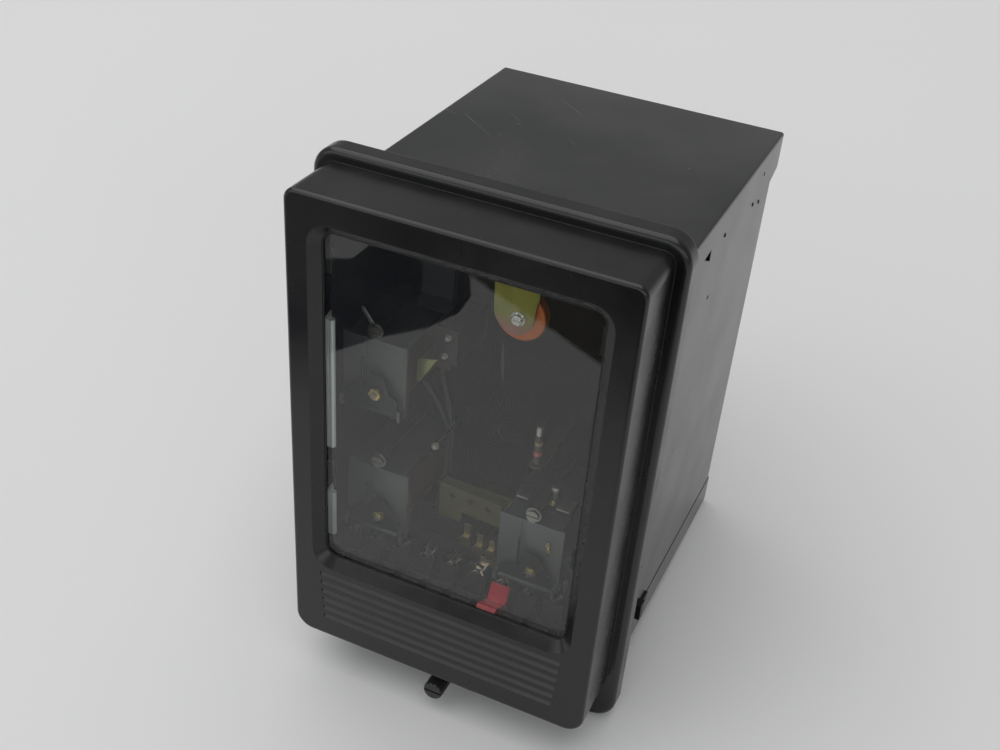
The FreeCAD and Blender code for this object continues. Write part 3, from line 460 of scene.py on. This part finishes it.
# contact block on the lower right unit's yoke
prism("contact_block", ((17.0, 2.0, -25.3), (46.0, 2.0, -25.3), (46.0, 2.0, -21.3), (17.0, 2.0, -21.3)),
      (0, 28.0, 0), phenolic, edge=0.4)
for i, (x0, x1) in enumerate(((18.6, 24.2), (39.0, 45.4))):
    leaf = ((x0, 0.2, -21.2), (x1, 0.2, -21.2), (x1, 9.0, -21.2), (x0, 9.0, -21.2))
    prism("contact_spring_%d" % (i + 1), leaf, (0, 0, 0.7), dull_nickel, edge=0.12)
turned("binding_post", (35.4, 8.0, -21.3), (0, 0, 1),
       ((1.3, 0.0), (1.3, 5.2), (2.4, 5.2), (2.4, 6.4), (2.0, 7.0), (0.5, 7.1)), dull_nickel)
turned("post_nut", (36.3, 3.4, -21.3), (0, 0, 1), ((1.9, 0.0), (1.9, 1.3), (1.2, 1.5), (0.9, 2.3)), brass,
       sides=6)
prism("face_contact", ((40.0, -9.3, -41.6), (41.3, -9.3, -41.6), (41.0, -9.3, -34.4), (39.8, -9.3, -34.4)),
      (0, 0.7, 0), brass, edge=0.12)
screw("face_contact_screw", 40.3, -9.3, -34.8, 0.9, brass, length=0.7)

# tinned link above the sixth jaw, and the bands and cap of the resistor
prism("jaw_link", ((0.6, 5.0, -75.7), (8.8, 5.0, -75.7), (8.4, 5.0, -71.4), (1.2, 5.0, -70.2)), (0, 1.0, 0),
      copper_tan)
prism("jaw_link_foot", ((1.0, 6.0, -75.6), (8.6, 6.0, -75.6), (8.6, 17.9, -75.6), (1.0, 17.9, -75.6)),
      (0, 0, 0.8), copper_tan)
RESISTOR_X, RESISTOR_Y = 26.3, 2.0
for i, (low, high, paint) in enumerate(((4.8, 7.0, red_band), (10.6, 12.4, tan_band))):
    tall = high - low
    turned("resistor_band_%d" % (i + 1), (RESISTOR_X, RESISTOR_Y, low), (0, 0, 1),
           ((1.72, 0.0), (1.90, 0.12), (1.95, 0.4), (1.95, tall - 0.4), (1.90, tall - 0.12), (1.72, tall)),
           paint, sides=28)
turned("resistor_cap", (RESISTOR_X, RESISTOR_Y, 16.2), (0, 0, 1),
       ((1.5, 0.0), (1.75, 0.1), (1.75, 4.0), (1.6, 4.5), (1.2, 4.7), (0.4, 4.75)), dull_nickel, sides=28)

# rivet heads on the right side of the case
CASE_SIDE_X = 77.1
rivet = metal("blackened_rivet", grey(0.03), rough=0.35, tarnish=0.2)
for i, (y, z) in enumerate(((73.8, 99.1), (124.0, 93.6), (137.0, 89.8))):
    turned("side_rivet_%d" % (i + 1), (CASE_SIDE_X, y, z), (1, 0, 0),
           ((1.1, -0.1), (1.1, 0.1), (0.8, 0.35), (0.3, 0.45)), rivet, sides=24)


# ---- floor, backdrop and light ------------------------------------------------------------------
# the part rests on its flange and the tray's rear edge, so the paper rises towards the rear
SLOPE = math.atan(19.3 / 160.0)
FLOOR_Z = -133.6
PAPER_HALF = 6.0


def paper(name, half):
    """The sloping sweep below the object, half metres to each side."""
    rise = Vector((0, math.cos(SLOPE), math.sin(SLOPE)))
    across = Vector((1, 0, 0))
    corners = []
    for sx, sy in ((-1, -1), (1, -1), (1, 1), (-1, 1)):
        corners.append(tuple(mm(0, 0, FLOOR_Z) + across * sx * half + rise * sy * half))
    mesh = bpy.data.meshes.new(name)
    mesh.from_pydata(corners, [], [(0, 1, 2, 3)])
    obj = bpy.data.objects.new(name, mesh)
    scene.collection.objects.link(obj)
    return obj


floor = paper("floor", PAPER_HALF)
n = Nodes("floor_paper")
shade = n.mix(n.ramp(n.noise(1.3, 3.0), 0.35, 0.65), rgb(0.775, 0.772, 0.765), rgb(0.79, 0.788, 0.782))
floor.data.materials.append(n.finish(n.principled(Base_Color=shade, Roughness=0.75, Specular_IOR_Level=0.3)))

world = bpy.data.worlds.new("studio")
scene.world = world
world.use_nodes = True
sky = world.node_tree
sky.nodes.clear()
sky_out = sky.nodes.new("ShaderNodeOutputWorld")
sky_coord = sky.nodes.new("ShaderNodeTexCoord")
sky_split = sky.nodes.new("ShaderNodeSeparateXYZ")
sky.links.new(sky_coord.outputs["Generated"], sky_split.inputs[0])


def sky_range(socket, low, high, to_low, to_high):
    node = sky.nodes.new("ShaderNodeMapRange")
    node.interpolation_type = "SMOOTHSTEP"
    sky.links.new(socket, node.inputs["Value"])
    for key, value in (("From Min", low), ("From Max", high), ("To Min", to_low), ("To Max", to_high)):
        node.inputs[key].default_value = value
    return node.outputs["Result"]


def sky_maths(operation, a, b):
    node = sky.nodes.new("ShaderNodeMath")
    node.operation = operation
    sky.links.new(a, node.inputs[0])
    sky.links.new(b, node.inputs[1])
    return node.outputs[0]


# dim high in front, brighter behind, with a pale band low in front
sky_low = sky_maths("MULTIPLY", sky_range(sky_split.outputs[2], 0.02, 0.12, 0.0, 1.0),
                    sky_range(sky_split.outputs[2], 0.40, 0.60, 1.0, 0.0))
sky_front = sky_maths("MULTIPLY", sky_low, sky_range(sky_split.outputs[1], -0.65, -0.15, 1.05, 0.0))
sky_level = sky_maths("ADD", sky_range(sky_split.outputs[1], -0.75, 0.55, 0.19, 0.30), sky_front)
room = sky.nodes.new("ShaderNodeBackground")
room.inputs[0].default_value = (0.97, 0.985, 1.0, 1)
sky.links.new(sky_level, room.inputs[1])
seen = sky.nodes.new("ShaderNodeBackground")
seen.inputs[0].default_value = (0.62, 0.62, 0.63, 1)
sky_path = sky.nodes.new("ShaderNodeLightPath")
sky_mix = sky.nodes.new("ShaderNodeMixShader")
sky.links.new(sky_path.outputs["Is Camera Ray"], sky_mix.inputs[0])
sky.links.new(room.outputs[0], sky_mix.inputs[1])
sky.links.new(seen.outputs[0], sky_mix.inputs[2])
sky.links.new(sky_mix.outputs[0], sky_out.inputs[0])


def softbox(name, where, target, size, watts):
    data = bpy.data.lights.new(name, "AREA")
    data.shape = "RECTANGLE"
    data.size, data.size_y = size, size
    data.energy = watts
    lamp = bpy.data.objects.new(name, data)
    scene.collection.objects.link(lamp)
    lamp.location = where
    lamp.rotation_mode = "QUATERNION"
    lamp.rotation_quaternion = (Vector(target) - Vector(where)).to_track_quat("-Z", "Y")
    return lamp


def on_floor(x, y, lift):
    return mm(x, y, FLOOR_Z + y * math.tan(SLOPE) + lift)


def painted_reflection_card(name, outline, colour, lift=1.0):
    """Painted reflection: a glowing dark card just above the paper in front of the object, hidden from the
    camera, from diffuse light and from shadows, so it shows only as a dark reflection in gloss and through
    the glass.
    """
    mesh = bpy.data.meshes.new(name)
    mesh.from_pydata([tuple(on_floor(x, y, lift)) for x, y in outline], [], [tuple(range(len(outline)))])
    obj = bpy.data.objects.new(name, mesh)
    scene.collection.objects.link(obj)
    material = bpy.data.materials.new(name)
    material.use_nodes = True
    tree = material.node_tree
    tree.nodes.clear()
    glow = tree.nodes.new("ShaderNodeEmission")
    glow.inputs[0].default_value = colour
    glow.inputs[1].default_value = 1.0
    tree.links.new(glow.outputs[0], tree.nodes.new("ShaderNodeOutputMaterial").inputs[0])
    mesh.materials.append(material)
    obj.visible_camera = False
    obj.visible_diffuse = False
    obj.visible_shadow = False
    return obj


softbox("key", (-0.9, -0.2, 4.2), (0, 0, 0), size=6.2, watts=158.0)
# Outlines of the two painted-reflection cards, x and y in mm. These cards are an open fault of the visual
# model.
NAVY_REFLECTION_CARD = ((-246, -325), (-228, -378), (-205, -419), (-197, -462), (-204, -500), (-221, -535),
             (-240, -560), (-330, -560), (-325, -505), (-345, -490), (-620, -470), (-620, -300),
             (-420, -270))
BROWN_REFLECTION_CARD = ((-225, -541), (-181, -513), (-124, -483), (-66, -447), (40, -390), (500, -390),
              (500, -2500), (-900, -2500), (-900, -640), (-360, -600), (-300, -575))
# painted reflection: the navy and the brown card paint dark patches into what the glass and the glossy faces
# reflect
painted_reflection_card("painted_reflection_left", NAVY_REFLECTION_CARD, rgb(0.030, 0.034, 0.060))
painted_reflection_card("painted_reflection_front", BROWN_REFLECTION_CARD, rgb(0.045, 0.036, 0.028), lift=2.0)

# ---- camera -------------------------------------------------------------------------------------
AZ, EL, ROLL = math.radians(20.98), math.radians(35.088), math.radians(5.477)
CAMERA_AT = mm(180.30, -427.56, 346.38)
SENSOR_W = 36.0
LENS_PER_SENSOR = 1.2465
back = Vector((math.sin(AZ) * math.cos(EL), -math.cos(AZ) * math.cos(EL), math.sin(EL)))
right = Vector((math.cos(AZ), math.sin(AZ), 0))
up = back.cross(right)
right_r = right * math.cos(ROLL) + up * math.sin(ROLL)
up_r = up * math.cos(ROLL) - right * math.sin(ROLL)
data = bpy.data.cameras.new("camera")
camera = bpy.data.objects.new("camera", data)
scene.collection.objects.link(camera)
data.sensor_width = SENSOR_W
data.lens = LENS_PER_SENSOR * SENSOR_W
data.shift_x, data.shift_y = -0.0205, 0.0389
data.clip_start, data.clip_end = 0.01, 50.0
data.dof.use_dof = False
place = Matrix((right_r, up_r, back)).transposed().to_4x4()
place.translation = CAMERA_AT
camera.matrix_world = place
scene.camera = camera
